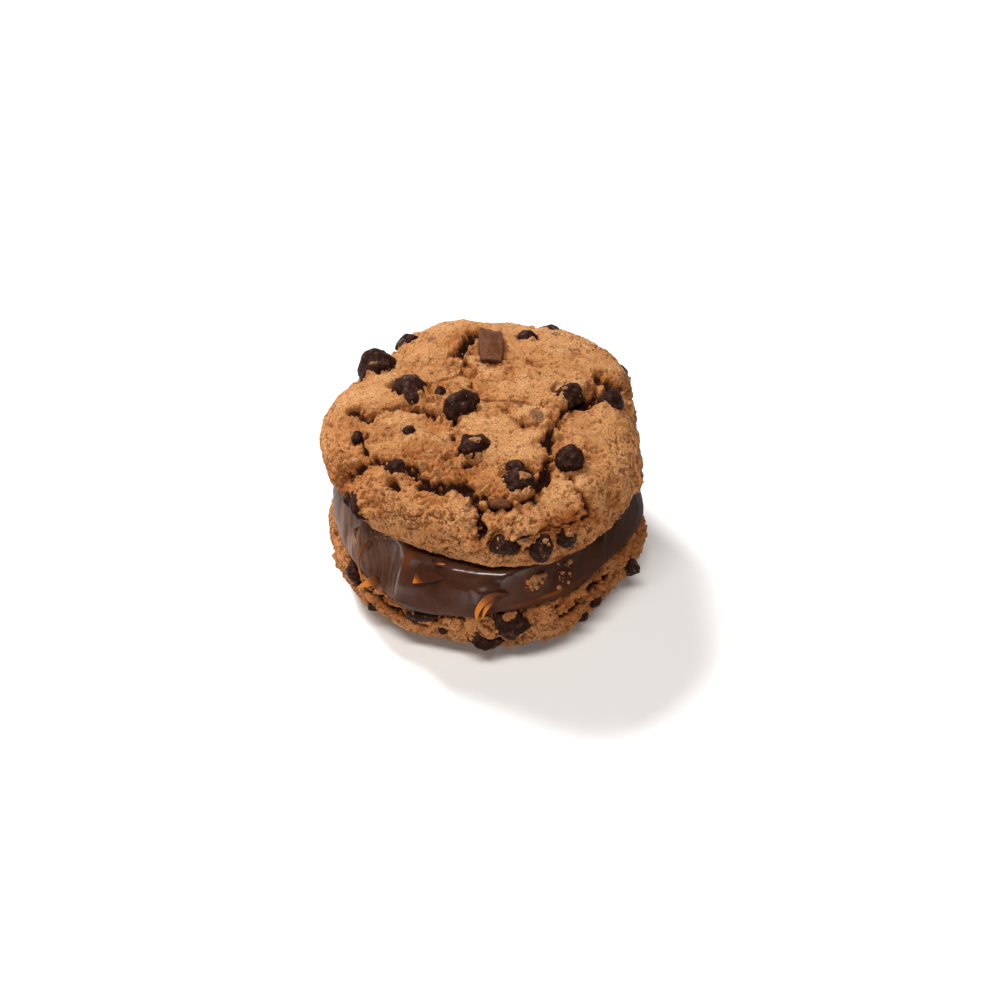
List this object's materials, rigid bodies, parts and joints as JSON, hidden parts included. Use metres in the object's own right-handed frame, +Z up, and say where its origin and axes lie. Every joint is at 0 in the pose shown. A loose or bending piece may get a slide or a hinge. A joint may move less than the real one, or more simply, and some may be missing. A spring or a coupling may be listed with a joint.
{
  "type": "alfajor cookie",
  "caption": "Round sandwich of two thick chocolate chip cookies, domes outward, held together by a thick layer of milk caramel.",
  "frame": {"origin": "centre of the footprint, on the surface the sandwich rests on", "axes": "+Z up through both cookies, +Y to the back, +X to the right as the front is seen"},
  "size_m": [0.0734, 0.0786, 0.0503],
  "materials": {
    "dough": "rough baked crumb",
    "dark_chocolate": "satin",
    "milk_chocolate": "satin",
    "caramel": "glossy"
  },
  "bodies": {
    "root": {"lower_cookie": "dough", "caramel": "caramel", "upper_cookie": "dough", "upper_chip_1": "dark_chocolate", "upper_chip_2": "dark_chocolate", "upper_chip_3": "dark_chocolate", "upper_chip_4": "dark_chocolate", "upper_chip_5": "dark_chocolate", "upper_chip_6": "dark_chocolate", "upper_chip_7": "dark_chocolate", "upper_chip_8": "dark_chocolate", "upper_chip_9": "dark_chocolate", "upper_chip_10": "dark_chocolate", "upper_chip_11": "milk_chocolate", "upper_chip_12": "dark_chocolate", "upper_chip_13": "dark_chocolate", "upper_chip_14": "dark_chocolate", "upper_chip_15": "dark_chocolate", "upper_chip_16": "dark_chocolate", "upper_chip_17": "dark_chocolate", "upper_chip_18": "dark_chocolate", "upper_chip_19": "dark_chocolate", "upper_chip_20": "dark_chocolate", "lower_chip_1": "dark_chocolate", "lower_chip_2": "dark_chocolate", "lower_chip_3": "dark_chocolate", "lower_chip_4": "dark_chocolate", "lower_chip_5": "dark_chocolate", "lower_chip_6": "dark_chocolate", "lower_chip_7": "dark_chocolate", "lower_chip_8": "dark_chocolate", "lower_chip_9": "dark_chocolate", "lower_chip_10": "dark_chocolate", "lower_chip_11": "dark_chocolate", "lower_chip_12": "dark_chocolate", "lower_chip_13": "dark_chocolate"}
  },
  "joints": []
}
